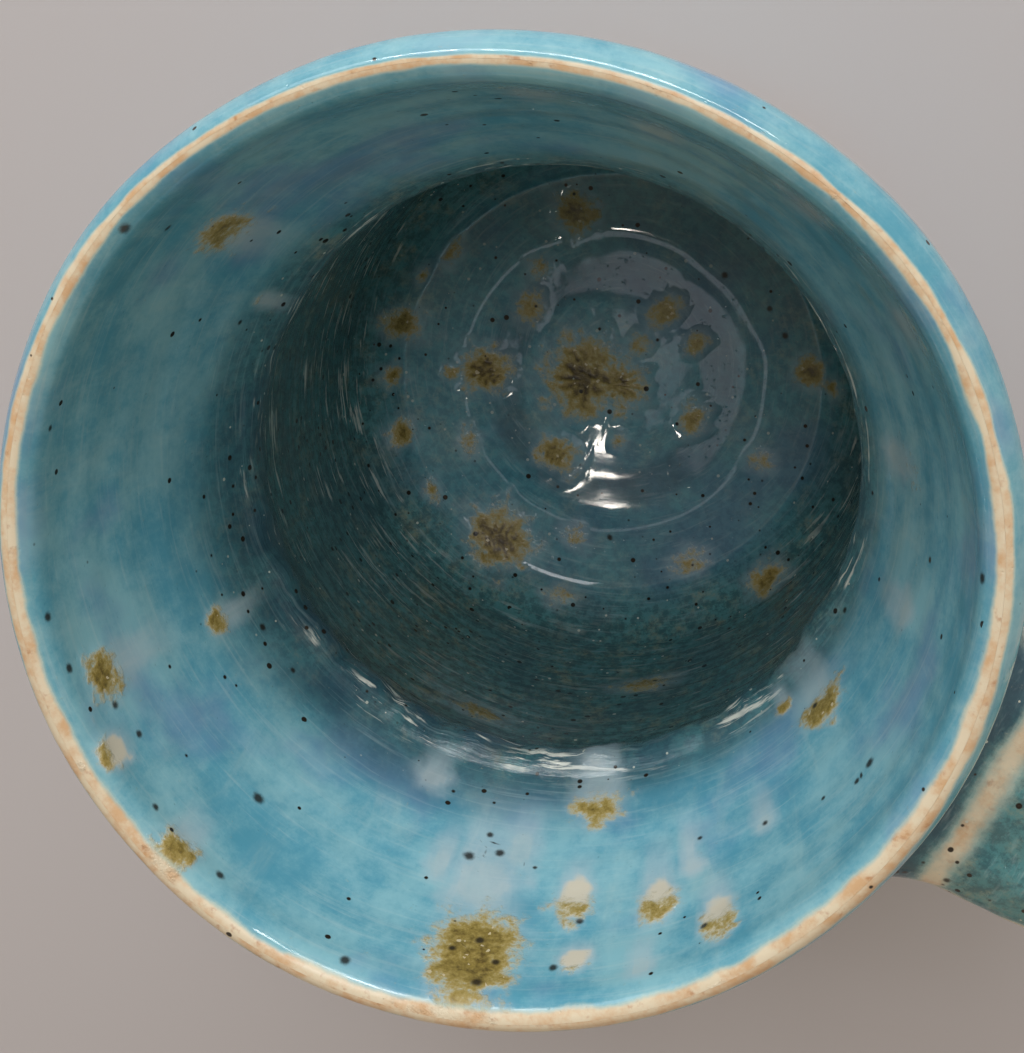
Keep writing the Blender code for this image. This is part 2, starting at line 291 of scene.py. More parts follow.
# %% Work out crystal, milk and specks
SPOKES = 11
TRAIL_MILK = 0.47
BRIGHT_PEARL, FAINT_PEARL = 0.80, 0.50
WALL_CRYSTAL = 0.66
FAR_OFF = 9.0
SPECK_REACH, SPECK_MARGIN = 1.15, 0.75


def marks_on(points, outward, blooms):
    """Crystal and milk, from 0 to 1, that these blooms (place, width, height, gold, trail) leave."""
    crystal, milk = np.zeros(points.shape[:2]), np.zeros(points.shape[:2])
    ragged = 1.0 + 0.20 * swells(points, 2.8, 11) + 0.10 * swells(points, 1.2, 12)
    for place, wide, tall, gold, trail in blooms:
        offset = points - np.array(place)
        near = np.nonzero((offset ** 2).sum(axis=-1) < (max(wide, tall) + trail + 3.0) ** 2)
        offset, out = offset[near], outward[near]
        across = np.cross(np.array([0.0, 0.0, 1.0]), np.array([place[0], place[1], 0.0]))
        across /= np.linalg.norm(across)
        down = np.cross(out, across)
        u, v = offset @ across / (wide / 2), (offset * down).sum(axis=-1)
        reach = np.hypot(u, v / (tall / 2)) * ragged[near]
        body = 1.0 - smooth(0.40, 1.30, reach)
        if not trail:
            spread = np.arctan2(v / tall, u / 2)
            spoke = np.cos(SPOKES * spread + 3.0 * swells(points[near], 4.0, 14) + wide * 9.0)
            spoke = spoke * smooth(0.0, 0.4, reach) * (1.0 - smooth(0.5, 0.9, reach))
            spoke = spoke * smooth(3.0, 7.0, wide)
            flower = 1.0 - smooth(0.0, 1.45, reach * (1.0 + 0.08 * swells(points[near], 1.5, 15)))
            crystal[near] = np.maximum(crystal[near], gold * flower * (0.84 + 0.20 * spoke))
            milk[near] = np.maximum(milk[near], 0.25 * (1.0 - smooth(0.7, 1.7, reach)))
            continue
        horns = v / tall - 0.30 * u ** 2 + 0.06 * swells(points[near], 1.4, 13)
        crescent = 1.0 - smooth(gold - 0.80, gold - 0.20, horns)
        crystal[near] = np.maximum(crystal[near], WALL_CRYSTAL * body * crescent * smooth(0.0, 0.15, gold))
        pearl = (1.0 - smooth(0.45, 1.30, reach)) * (BRIGHT_PEARL if 0.2 < gold < 0.5 else FAINT_PEARL)
        half = 1.25 - 0.30 * np.clip(v / trail, 0, 1)
        run = 1.0 - smooth(0.25, 1.0, np.abs(u) / (half * ragged[near]))
        run *= 1.0 - smooth(0.2 * trail, trail, v)
        run *= TRAIL_MILK * smooth(-0.45 * tall, 0.15 * tall, v)
        milk[near] = np.maximum(milk[near], np.maximum(pearl, run))
    return crystal, milk


def specks_on(points, specks):
    """For each point, the way to it from the nearest speck, in speck radii, and whether it is close by."""
    way = np.full(points.shape, FAR_OFF)
    least = np.full(points.shape[:2], np.inf)
    near_one = np.zeros(points.shape[:2])
    for place, radius in specks:
        offset = (points - np.array(place)) / radius
        length = np.linalg.norm(offset, axis=-1)
        closer = length < least
        way[closer] = offset[closer]
        least[closer] = length[closer]
        near_one[closer] = length[closer] < SPECK_REACH + SPECK_MARGIN / radius
    return way, near_one


pictured = [(place_of(pixel), *sizes) for pixel, sizes in WALL_BLOOMS.items()]
pictured += [(place_of(pixel), *sizes, 0.0) for pixel, sizes in FLOOR_BLOOMS.items()]
specks = [(place_of(pixel), radius) for pixel, radius in IRON_SPECKS.items()]
print("blooms placed: %d, specks placed: %d" % (len(pictured), len(specks)))

# %% [markdown]
# ## One mesh from a stack of rings
# Every coat and the clay itself is a stack of rings of points, skinned from ring to ring. A ring with one
# point closes an end, and a looped stack makes a coat with a front and a back. Skinning rings in code
# gives closed meshes with even faces, which a Screw modifier can't once the rings are no longer round.

# %% Skin rings into a closed mesh


def skinned(name, rings, values, loop=False, sharp=()):
    """Closed object through rings of points in mm; values are attributes with one entry for each point."""
    starts = np.cumsum([0] + [len(ring) for ring in rings])
    faces = []
    pairs = list(zip(range(len(rings)), range(1, len(rings)))) + ([(len(rings) - 1, 0)] if loop else [])
    for i, j in pairs:
        a = starts[i] + np.arange(len(rings[i]))
        b = starts[j] + np.arange(len(rings[j]))
        wide = max(len(a), len(b))
        a2, b2 = np.roll(a, -1), np.roll(b, -1)
        if len(a) == 1:
            faces.append(np.stack([np.repeat(a, wide), b, b2], 1))
        elif len(b) == 1:
            faces.append(np.stack([a, np.repeat(b, wide), a2], 1))
        else:
            faces.append(np.stack([a, b, b2, a2], 1))
    points = np.concatenate(rings) * MM
    volume = 0.0
    for group in faces:
        first, second, last = (points[group[:, k]] for k in (0, 1, -1))
        volume += (first * np.cross(second - first, last - first)).sum()
    order = slice(None) if volume > 0 else slice(None, None, -1)
    listed = [face for group in faces for face in group[:, order].tolist()]
    mesh = bpy.data.meshes.new(name)
    mesh.from_pydata(points.tolist(), [], listed, shade_flat=False)
    for label, entries in values.items():
        vector = entries.ndim == 2
        kept = mesh.attributes.new(label, "FLOAT_VECTOR" if vector else "FLOAT", "POINT")
        kept.data.foreach_set("vector" if vector else "value", entries.astype(np.float32).ravel())
    if sharp:
        ring_of = np.repeat(np.arange(len(rings)), [len(ring) for ring in rings])
        ends = np.zeros(len(mesh.edges) * 2, int)
        mesh.edges.foreach_get("vertices", ends)
        near, far = ring_of[ends.reshape(-1, 2)].T
        crease = (near == far) & np.isin(near, [k % len(rings) for k in sharp])
        mesh.attributes.new("sharp_edge", "BOOLEAN", "EDGE").data.foreach_set("value", crease)
    piece = bpy.data.objects.new(name, mesh)
    bpy.context.scene.collection.objects.link(piece)
    print("%s: %d points, %d faces" % (name, len(mesh.vertices), len(mesh.polygons)))
    return piece

# %% [markdown]
# ## The poured liner
# The liner is the coat inside, from the crest of the rim to the floor. Fingers left broad throwing rings
# in the clay below it, with a ledge at the waist and a shallow ring round a raised button in the floor.
# All of that is real relief here, because light runs along it in streaks that a bump alone can't give.

# %% Work out the liner's relief
FINGER_PITCH = 6.2
CHAMBER_PITCH = 3.1
FLOOR_PITCH = 3.6
BUTTON_RADIUS, BUTTON_RISE = 12.5, 0.19
RING_SLOPE = 0.012
STEP_RADIUS, STEP_WIDTH, STEP_DROP = 17.2, 3.4, 0.06
FLOOR_RADIUS, FLOOR_SLOPE = 20.0, 0.16
FINGER_RISE, CHAMBER_RISE, FLOOR_RISE = 0.045, 0.09, 0.012
LEDGE, LEDGE_WIDTH, LEDGE_BEARING = 1.55, 2.25, 295.0
LEDGE_S = WAIST_S - 2.7


def flowed(points):
    """Points squeezed in height, so that swells worked out on them are drawn out down the wall."""
    return points * np.array([1.0, 1.0, 0.16])


def liner_relief(points, s):
    """How far the liner stands off its turned outline, in mm, before any bloom."""
    radius = np.hypot(points[..., 0], points[..., 1])
    above = 1.0 - smooth(WAIST_S - 6, WAIST_S - 1, s)
    below = smooth(WAIST_S + 1, WAIST_S + 5, s)
    on_floor = smooth(HEEL_S - 2, HEEL_S + 6, s)
    off_lip = smooth(2.0, 7.0, s)
    turns = s + 1.2 * swells(points, 16.0, 21)
    uneven = np.clip(0.6 + swells(points, 9.0, 22), 0.0, 2.0)
    relief = FINGER_RISE * above * off_lip * np.sin(math.tau * turns / FINGER_PITCH + TURN)
    chamber = np.sin(math.tau * turns / CHAMBER_PITCH + TURN)
    relief += CHAMBER_RISE * below * (1 - on_floor) * chamber * uneven
    up = s - LEDGE_S + LEDGE_WIDTH
    flank = (np.hypot(up, 0.5) + LEDGE_WIDTH - np.hypot(up - LEDGE_WIDTH, 0.5)) / (2 * LEDGE_WIDTH)
    ledge = flank * (1 - smooth(LEDGE_S + 0.5, LEDGE_S + 7.0, s))
    ledge = ledge * (0.25 + 0.75 * np.clip(0.35 + np.cos(TURN - math.radians(LEDGE_BEARING)), 0.0, 1.0))
    relief += LEDGE * ledge * (1 + 0.30 * swells(points, 7.0, 23) + 0.12 * swells(points, 2.2, 27))
    rings = np.sin(math.tau * radius / FLOOR_PITCH - TURN) * smooth(18.0, 22.0, radius)
    relief += FLOOR_RISE * on_floor * rings * uneven + 0.02 * on_floor * swells(points, 20.0, 26)
    dome = 1.0 - (radius / BUTTON_RADIUS) ** 2
    relief += on_floor * BUTTON_RISE * (dome + np.sqrt(dome ** 2 + 0.004)) / 2
    ring_edge = radius + 0.4 * swells(points, 11.0, 28)
    relief += on_floor * RING_SLOPE * np.clip(ring_edge - BUTTON_RADIUS, 0.0, None)
    relief -= on_floor * STEP_DROP * smooth(STEP_RADIUS, STEP_RADIUS + STEP_WIDTH, ring_edge)
    beyond = np.clip(ring_edge - FLOOR_RADIUS, 0.0, None)
    relief += on_floor * FLOOR_SLOPE * (np.hypot(beyond, 0.8) - 0.8)
    calm = 1 - 0.93 * on_floor
    relief += calm * (0.03 * off_lip * swells(flowed(points), 3.4, 24) + 0.012 * swells(points, 2.2, 25))
    return relief


# %% [markdown]
# The material has to know where a point lies, so each coat carries its marks as attributes of its mesh: how
# thick the glaze is, where it collected or ran thin, where shade and glints are painted into its colour, and
# how far round and along the wall a point is. Painting such masks by hand would work too, but a formula
# follows the shape exactly and can be changed.

# %% Gather the glaze's marks
SLANT = 3.0
WAIST_SHADE_BEARING = 255.0


def pooled(points, s):
    """Painted shade round the waist, darkest on the left where the wall turns from the light, and thick
    glaze in the floor's ring.
    """
    radius = np.hypot(points[..., 0], points[..., 1])
    left = np.clip(0.3 + np.cos(TURN - math.radians(WAIST_SHADE_BEARING)), 0.0, 1.0)
    waist = smooth(WAIST_S - 9 - 8 * left, WAIST_S - 3, s) * (1 - smooth(WAIST_S + 2, WAIST_S + 10, s))
    ring = smooth(11.5, 13.0, radius) * (1 - smooth(16.0, 18.0, radius)) * smooth(HEEL_S, HEEL_S + 8, s)
    shade_and_pool = np.clip(waist * (0.30 + 0.35 * left) + 0.45 * ring, 0.0, 1.0)
    return shade_and_pool * (1 + 0.3 * swells(points, 6.0, 29))


def glaze_values(points, outward, s, blooms, specks, **shares):
    """The attributes that the glaze's material reads, for one grid of points, and these shares."""
    crystal, milk = marks_on(points, outward, blooms)
    way, near_one = specks_on(points, specks)
    lap = np.stack([np.cos(TURN) + 0 * s, np.sin(TURN) + 0 * s, s + SLANT * np.sin(TURN)], axis=-1)
    grids = {label: share + 0 * crystal for label, share in shares.items()}
    return {"crystal": crystal, "milk": milk, "lap": lap, "speck_way": way, "speck_near": near_one, **grids}


def thin_line(points, s, wide):
    """How thin the glaze has run over the rim, from 1 on its crest to 0."""
    reach = wide * (1.0 + 0.20 * swells(points, 6.0, 31) + 0.08 * swells(points, 2.4, 32))
    return 1.0 - smooth(0.25, 1.45, s / reach)


# %% [markdown]
# A coat of glaze has a thickness, so it is made of a detailed front and a plain back, joined at their
# edges. The front is lifted off its outline by its relief and by its crystals, but not at the crest of the
# rim, where the coats inside and outside meet.

# %% Make a coat from a front and a back
CRYSTAL_RISE, MILK_RISE = 0.30, 0.05
COAT_THICKNESS = 0.6
CREST_WIDTH = 1.5


def raised(points, outward, s, relief, values):
    """The front of a coat: its points lifted by this relief and by its blooms."""
    lift = relief + CRYSTAL_RISE * values["crystal"] + MILK_RISE * values["milk"]
    lift *= smooth(0.0, CREST_WIDTH, s)
    return points + outward * lift[..., None]


def back_of(line, out, distances):
    """The back of a coat, one thickness of glaze below its outline."""
    points, outward = turned_grid(line, out, distances)
    return points - outward * COAT_THICKNESS


def coat(name, front, back, values, middle):
    """A coat of glaze: a front that carries values and a plain back; each may close in a middle."""
    sheets = {label: grid.reshape(len(front), COLUMNS, -1) for label, grid in values.items()}
    if middle:
        front, sheets = front[::-1], {label: grid[::-1] for label, grid in sheets.items()}
        rings = [front[0].mean(axis=0, keepdims=True), *front, *back, back[-1].mean(axis=0, keepdims=True)]
    else:
        rings = [*front, *back[::-1]]
    flat = {}
    for label, grid in sheets.items():
        first = [grid[0].mean(axis=0, keepdims=True)] if middle else []
        behind = back.shape[0] * COLUMNS + (1 if middle else 0)
        plain = np.full((behind, grid.shape[-1]), FAR_OFF if label == "speck_way" else 0.0)
        flat[label] = np.concatenate(first + [grid.reshape(-1, grid.shape[-1]), plain]).squeeze()
    seam = len(front) if middle else 0
    return skinned(name, rings, flat, loop=not middle, sharp=(seam, seam - 1 if not middle else seam + 1))


# %% Pour the liner
LOW_BEARING, LEFT_BEARING = 290.0, 222.0
LINER_END_S = FLOOR_END_S - 0.4
liner_s = rows_between([0.0, 3.0, 8.0, WAIST_S - 5, WAIST_S + 5, HEEL_S, FLOOR_END_S - 16, LINER_END_S],
                       [0.15, 0.45, 0.62, 0.36, 0.62, 0.50, 0.62])
points, outward = turned_grid(INSIDE, INSIDE_OUT, liner_s)
s_grid = liner_s[:, None]
low_side = np.cos(TURN - math.radians(LOW_BEARING))
left_side = np.clip(np.cos(TURN - math.radians(LEFT_BEARING)), 0.0, 1.0)
# Ridges in the chamber get a bump and painted white glints here, fewer below the waist on the low side.
ridged = smooth(WAIST_S - 6.5, WAIST_S - 3.5, s_grid) * (1 - smooth(HEEL_S - 2, HEEL_S + 6, s_grid))
ridged = ridged * (1 - 0.8 * np.clip(low_side, 0.0, 1.0) * smooth(WAIST_S + 1, WAIST_S + 6, s_grid))
# Painted shade: the duller colour starts higher up on the left, where the wall turns from the light, and is
# weaker on the floor, which is lit.
deep = smooth(WAIST_S - 10 - 8 * left_side, WAIST_S - 2, s_grid)
deep = deep * (1 - 0.4 * smooth(HEEL_S, HEEL_S + 10, s_grid))
values = glaze_values(points, outward, s_grid, pictured, specks, deep=deep, ridged=ridged,
                      pool=pooled(points, s_grid), thin=thin_line(points, s_grid, 0.98 + 0.46 * low_side))
front = raised(points, outward, s_grid, liner_relief(points, s_grid), values)
back_s = rows_between([0.0, 8.0, LINER_END_S], [2.0, 5.5])
back = back_of(INSIDE, INSIDE_OUT, back_s)
print("liner rows:", len(liner_s), "and", len(back_s), "behind")
liner = coat("poured_liner", front, back, values, middle=True)
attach(liner, "root")
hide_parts("liner_glaze")

# %% [markdown]
# ## The dipped coat outside
# The outside was dipped, so its coat starts at the crest too and stops at a wavy line above the foot,
# where it rolls over in a thick edge. It has throwing rings, runs and random blooms of its own.

# %% Scatter blooms and specks outside
chance = np.random.default_rng(40)
GLAZE_LINE_S = distance_at(OUTSIDE, 5.6)
outer_s = rows_between([0.0, 6.0, 16.0, GLAZE_LINE_S - 3.0, GLAZE_LINE_S], [0.16, 0.55, 0.78, 0.25])
points, outward = turned_grid(OUTSIDE, OUTSIDE_OUT, outer_s)
s_grid = outer_s[:, None]
scattered = []
for _ in range(46):
    row, column = chance.integers(58, len(outer_s) - 12), chance.integers(COLUMNS)
    size = chance.uniform(1.6, 5.2)
    scattered.append((points[row, column], size, size * chance.uniform(0.7, 1.2),
                      chance.uniform(0.35, 0.95), size * chance.uniform(0.8, 1.9)))
outer_specks = []
for _ in range(70):
    row, column = chance.integers(54, len(outer_s)), chance.integers(COLUMNS)
    outer_specks.append((points[row, column], chance.uniform(0.2, 0.6)))
print("outside: %d blooms, %d specks" % (len(scattered), len(outer_specks)))

# %% Shape the outer coat
OUTER_PITCH, OUTER_RISE = 5.4, 0.11
HEAVY_LIP, HEAVY_BEARING = 0.5, 68.0
ROLL_RISE, ROLL_DROP, ROLL_EDGE = 0.45, 0.5, 0.9
DIP_SWAY = 0.9


def outer_relief(points, s):
    """How far the outer coat stands off its outline: rings, runs and the roll at its lower edge."""
    loose = swells(points, 18.0, 41)
    off_lip = smooth(3.0, 9.0, s)
    relief = OUTER_RISE * off_lip * np.sin(math.tau * (s + 0.9 * loose) / OUTER_PITCH + TURN)
    heavy = np.clip(np.cos(TURN - math.radians(HEAVY_BEARING)), 0.0, 1.0) ** 2
    relief = relief + HEAVY_LIP * heavy * smooth(1.0, 4.0, s) * (1 - smooth(6.0, 20.0, s))
    relief += 0.05 * off_lip * swells(flowed(points), 3.8, 42) + 0.012 * swells(points, 2.2, 43)
    roll = smooth(GLAZE_LINE_S - 4.5, GLAZE_LINE_S - 1.2, s)
    relief += ROLL_RISE * roll * (1 + 0.5 * swells(points * np.array([1.0, 1.0, 0.0]), 7.0, 44))
    edge = np.clip((s - GLAZE_LINE_S + ROLL_EDGE) / ROLL_EDGE, 0.0, 1.0)
    relief -= (ROLL_DROP + ROLL_RISE) * (1 - np.sqrt(1 - edge ** 2))
    return relief


thin = thin_line(points, s_grid, 0.95 + 0.60 * low_side)
thin = np.maximum(thin, 0.55 * smooth(GLAZE_LINE_S - 0.8, GLAZE_LINE_S, s_grid))
values = glaze_values(points, outward, s_grid, scattered, outer_specks,
                      deep=0.0, ridged=0.0, pool=0.0, thin=thin)
front = raised(points, outward, s_grid, outer_relief(points, s_grid), values)
dip_line = DIP_SWAY * swells(np.stack([np.cos(TURN), np.sin(TURN), 0 * TURN], -1) * 38.0, 26.0, 45)
front[..., 2] += dip_line * smooth(GLAZE_LINE_S - 14, GLAZE_LINE_S, s_grid)
back_s = rows_between([0.0, 6.0, GLAZE_LINE_S], [2.0, 6.0])
back = back_of(OUTSIDE, OUTSIDE_OUT, back_s)
back[..., 2] += dip_line * smooth(GLAZE_LINE_S - 14, GLAZE_LINE_S, back_s[:, None])
outer = coat("dipped_outer_coat", front, back, values, middle=False)
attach(outer, "root")
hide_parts("outer_glaze")

# %% [markdown]
# ## The strap handle
# The handle was pulled from a lump of wet clay, which leaves long shallow flutes down the strap, and its
# ends were pressed on to the wall, so they spread into it. The strap follows one Bezier curve, with the
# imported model's own sizes, and its oval section is swept along it. The glaze is thin on its edges. Both
# ends of the sweep go on into the wall, but no point is let more than 1 mm into the clay.

# %% Sweep the handle's coat
CLAY_OUTSIDE, CLAY_OUTSIDE_OUT = outline(OUTSIDE_KNOTS, 0.0)
UPPER_ROOT, LOWER_ROOT = (44.44, 77.0), (39.53, 25.5)
UPPER_PULL, LOWER_PULL = 50.0, 49.0
UPPER_RISE, LOWER_RISE = math.radians(12.0), math.radians(14.0)
TOP_WIDTH, BOTTOM_WIDTH, STRAP_THICKNESS, SQUARENESS = 22.0, 17.0, 6.8, 2.6
ROOT_SPREAD, ROOT_LENGTH = 3.2, 8.5
UPPER_START, LOWER_END = -4.2, 2.0
SIDES = 84


def strap_line(count=600):
    """Points down the middle of the strap, from the wall at the upper root to the wall at the lower one."""
    t = np.linspace(0, 1, count)[:, None]
    upper = np.array([UPPER_ROOT[0], 0.0, UPPER_ROOT[1]])
    lower = np.array([LOWER_ROOT[0], 0.0, LOWER_ROOT[1]])
    out = upper + UPPER_PULL * np.array([math.cos(UPPER_RISE), 0.0, math.sin(UPPER_RISE)])
    back = lower + LOWER_PULL * np.array([math.cos(LOWER_RISE), 0.0, math.sin(LOWER_RISE)])
    return (1 - t) ** 3 * upper + 3 * (1 - t) ** 2 * t * out + 3 * (1 - t) * t ** 2 * back + t ** 3 * lower


strap = strap_line()
strap_s = travelled(strap)
STRAP_LENGTH = strap_s[-1]
stations = rows_between([UPPER_START, 10.0, STRAP_LENGTH - 10.0, STRAP_LENGTH + LOWER_END],
                        [0.35, 0.62, 0.35])
inner = np.clip(stations, 0.0, STRAP_LENGTH)
along = np.gradient(strap, axis=0)
along /= np.linalg.norm(along, axis=1)[:, None]
along = np.stack([np.interp(inner, strap_s, along[:, i]) for i in range(3)], -1)
middle = np.stack([np.interp(inner, strap_s, strap[:, i]) for i in range(3)], -1)
middle += along * (stations - inner)[:, None]
across = np.array([0.0, 1.0, 0.0])
over = np.cross(along, across)
ROUND = np.linspace(0, math.tau, SIDES, endpoint=False)
wide = np.sign(np.cos(ROUND)) * np.abs(np.cos(ROUND)) ** (2 / SQUARENESS)
thick = np.sign(np.sin(ROUND)) * np.abs(np.sin(ROUND)) ** (2 / SQUARENESS)
from_wall = np.minimum(inner, STRAP_LENGTH - inner)
spread = ROOT_SPREAD * np.clip(1 - from_wall / ROOT_LENGTH, 0, 1) ** 2.2
share = inner / STRAP_LENGTH
half_wide = (TOP_WIDTH + (BOTTOM_WIDTH - TOP_WIDTH) * share) / 2 + spread + SKIN
half_thick = STRAP_THICKNESS / 2 + spread + SKIN
rounds = middle[:, None] + across * (half_wide[:, None] * wide)[..., None]
rounds = rounds + over[:, None] * (half_thick[:, None] * thick)[..., None]
outward = across * (np.cos(ROUND) / half_wide[:, None])[..., None]
outward = outward + over[:, None] * (np.sin(ROUND) / half_thick[:, None])[..., None]
outward /= np.linalg.norm(outward, axis=-1)[..., None]
print("strap %.1f mm long, %d stations" % (STRAP_LENGTH, len(stations)))

# %% Add the strap's flutes and blooms
FLUTES, FLUTE_DEPTH = 3, 0.26
flat_face = np.abs(np.sin(ROUND)) ** 0.8 * np.sign(np.sin(ROUND))
free = smooth(0.0, 9.0, from_wall)[:, None]
pulled = rounds * np.array([0.18, 1.0, 0.18])
flutes = np.clip(flat_face, 0, 1) * np.cos(FLUTES * math.pi * wide)
relief = FLUTE_DEPTH * free * flutes * (1 + 0.3 * swells(rounds, 30, 51))
relief += 0.14 * free * swells(pulled, 4.0, 52) + 0.05 * swells(rounds, 3.0, 53)
chance = np.random.default_rng(54)
handle_blooms = []
for _ in range(14):
    row, side = chance.integers(20, len(stations) - 20), chance.integers(SIDES)
    size = chance.uniform(1.4, 3.6)
    handle_blooms.append((rounds[row, side], size, size, chance.uniform(0.4, 0.9), 0.0))
crystal, milk = marks_on(rounds, outward, handle_blooms)
handle_specks = []
for _ in range(24):
    row, side = chance.integers(len(stations)), chance.integers(SIDES)
    handle_specks.append((rounds[row, side], chance.uniform(0.2, 0.5)))
way, near_one = specks_on(rounds, handle_specks)
print("handle: %d blooms, %d specks" % (len(handle_blooms), len(handle_specks)))

# %% Thin the glaze on the strap's edges and close its coat
BREAK_SPOT, BREAK_WIDTH = 5.8, 1.5
# The whole handle gets the chamber's duller colour: painted shade, as the mug shades the handle.
HANDLE_CRYSTAL_RISE, HANDLE_SHADE = 0.34, 0.9
WALL_BITE = 1.0
edge = smooth(0.90, 1.01, np.abs(wide) * (1 + 0.05 * swells(rounds, 6.0, 55)))
edge = 0.85 * edge * (0.55 + 0.45 * free)
top_face = np.clip(np.sin(ROUND) * 2, 0, 1)
bend = np.exp(-((stations - BREAK_SPOT) / BREAK_WIDTH) ** 2)[:, None] * top_face
edge = np.maximum(edge, bend * (0.80 + 0.15 * swells(rounds, 5.0, 56)))
lap = np.stack([rounds[..., 1] * 0.1, np.sin(ROUND) + 0 * edge, stations[:, None] + 0 * edge], -1)
relief += HANDLE_CRYSTAL_RISE * np.sqrt(crystal)
rounds = rounds + outward * relief[..., None]
radius = np.hypot(rounds[..., 0], rounds[..., 1])
bearings = np.arctan2(rounds[..., 1], rounds[..., 0])
wall_radius = np.interp(-rounds[..., 2], -CLAY_OUTSIDE[:, 1], CLAY_OUTSIDE[:, 0])
wall_radius += waves(bearings, RIM_WAVES) * smooth(STIFF_HEIGHT, CREST, rounds[..., 2])
rounds[..., :2] *= (np.maximum(radius, wall_radius - WALL_BITE) / radius)[..., None]
# Painted shade: the coat turns dark blue where each root meets the wall, most on the upper root's top face,
# under the rim.
corner = 1 - smooth(2.9, 5.2, from_wall[:, None] + 0.5 * swells(rounds, 5.0, 57))
corner = corner * (0.40 + 0.45 * top_face * (inner < STRAP_LENGTH / 2)[:, None])
values = {"crystal": crystal, "milk": milk, "thin": edge * (1 - corner), "deep": HANDLE_SHADE + 0 * edge,
          "ridged": 0 * edge, "pool": corner, "lap": lap, "speck_way": way, "speck_near": near_one}
flat = {}
for label, grid in values.items():
    listed = grid.reshape(len(stations) * SIDES, -1)
    flat[label] = np.concatenate([listed[:1], listed, listed[-1:]]).squeeze()
ends = [rounds[0].mean(axis=0, keepdims=True), rounds[-1].mean(axis=0, keepdims=True)]
handle = skinned("handle_coat", [ends[0], *rounds, ends[1]], flat)
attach(handle, "root")
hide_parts("handle_glaze")

# %% [markdown]
# ## The clay body
# Most of the clay lies under glaze. What shows is the foot: a bare band that was trimmed and sponged, and
# a base with the arcs that a twisted cutting wire leaves as it is drawn under the pot.

# %% Turn the clay body with its wire-cut base
WIRE_PITCH, WIRE_DEPTH = 2.1, 0.14
SPONGE_PITCH, SPONGE_RISE = 1.1, 0.06
CLAY_INSIDE, CLAY_INSIDE_OUT = outline(INSIDE_KNOTS, 0.0)
inside_s = rows_between([0.0, 8.0, travelled(CLAY_INSIDE)[-1] - 0.5], [1.5, 5.0])
foot_s = distance_at(CLAY_OUTSIDE, 8.5)
base_s = distance_at(CLAY_OUTSIDE, 0.0005)
base_end = travelled(CLAY_OUTSIDE)[-1] - 0.5
outside_s = rows_between([0.0, 8.0, foot_s, base_s, base_end], [1.5, 5.0, 0.24, 0.62])[1:]
clay_inside = turned_grid(CLAY_INSIDE, CLAY_INSIDE_OUT, inside_s)[0]
clay_outside, clay_out = turned_grid(CLAY_OUTSIDE, CLAY_OUTSIDE_OUT, outside_s)
s_grid = outside_s[:, None]
x, y = clay_outside[..., 0], clay_outside[..., 1]
under = smooth(base_s, base_s + 2.0, s_grid)
bare = smooth(foot_s, foot_s + 1.5, s_grid) * (1 - under)
drawn = np.sin(math.tau * (0.8 * x + 0.6 * y + 0.006 * (0.6 * x - 0.8 * y) ** 2) / WIRE_PITCH
               + 1.2 * swells(clay_outside, 9.0, 61))
relief = -WIRE_DEPTH * under * (1 + drawn)
relief -= 0.06 * under * (1 + np.clip(swells(clay_outside, 3.0, 62), -1, 1))
relief += SPONGE_RISE * bare * np.sin(math.tau * s_grid / SPONGE_PITCH + TURN)
relief += 0.04 * bare * swells(clay_outside, 2.5, 63)
clay_outside = clay_outside + clay_out * relief[..., None]
clay_outside[..., 2] = np.maximum(clay_outside[..., 2], 0.0)
rings = [clay_inside[-1].mean(axis=0, keepdims=True), *clay_inside[::-1], *clay_outside,
         clay_outside[-1].mean(axis=0, keepdims=True)]
body = skinned("stoneware_body", rings, {})
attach(body, "root")
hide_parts("thrown_body")

# %% [markdown]
# ## Materials
# Every finish is made of nodes, from colours written as sRGB hex codes and patterns with a size in
# millimetres. One function adds a node, and one turns a hex code into the linear colour that shaders use.

# %% Helpers for colours and nodes
SMOOTH = {"interpolation_type": "SMOOTHSTEP"}
RGB = {"data_type": "RGBA"}


def linear(code):
    """Linear RGBA for a colour written as #rrggbb."""
    parts = [int(code[i:i + 2], 16) / 255 for i in (1, 3, 5)]
    return tuple(p / 12.92 if p <= 0.04045 else ((p + 0.055) / 1.055) ** 2.4 for p in parts) + (1.0,)


def per_mm(size):
    """Texture scale that gives a pattern of this size in millimetres."""
    return 1.0 / (size * MM)


def add(tree, kind, links={}, **settings):
    """Adds a shader node. A link is a value, a socket, or a node, which stands for its first output."""
    node = tree.nodes.new("ShaderNode" + kind)
    for name, value in settings.items():
        setattr(node, name, value)
    for name, value in links.items():
        by_name = (socket for socket in node.inputs if socket.name == name and socket.enabled)
        socket = node.inputs[name] if isinstance(name, int) else next(by_name)
        if isinstance(value, bpy.types.Node):
            value = next(output for output in value.outputs if output.enabled)
        if isinstance(value, bpy.types.NodeSocket):
            tree.links.new(value, socket)
        else:
            socket.default_value = value
    return node


def new_material(name):
    """An empty procedural material, its node tree and its shader."""
    material = bpy.data.materials.new(name)
    material.use_nodes = True
    return material, material.node_tree, material.node_tree.nodes["Principled BSDF"]


def patches(tree, where, size, detail, roughness, low, high, most=1.0):
    """Soft random patches of about this size in mm: a noise that rises from 0 at low to a most at high."""
    noise = {"Vector": where, "Scale": per_mm(size), "Detail": detail, "Roughness": roughness}
    rise = {"Value": add(tree, "TexNoise", noise), "From Min": low, "From Max": high, "To Max": most}
    return add(tree, "MapRange", rise, **SMOOTH)


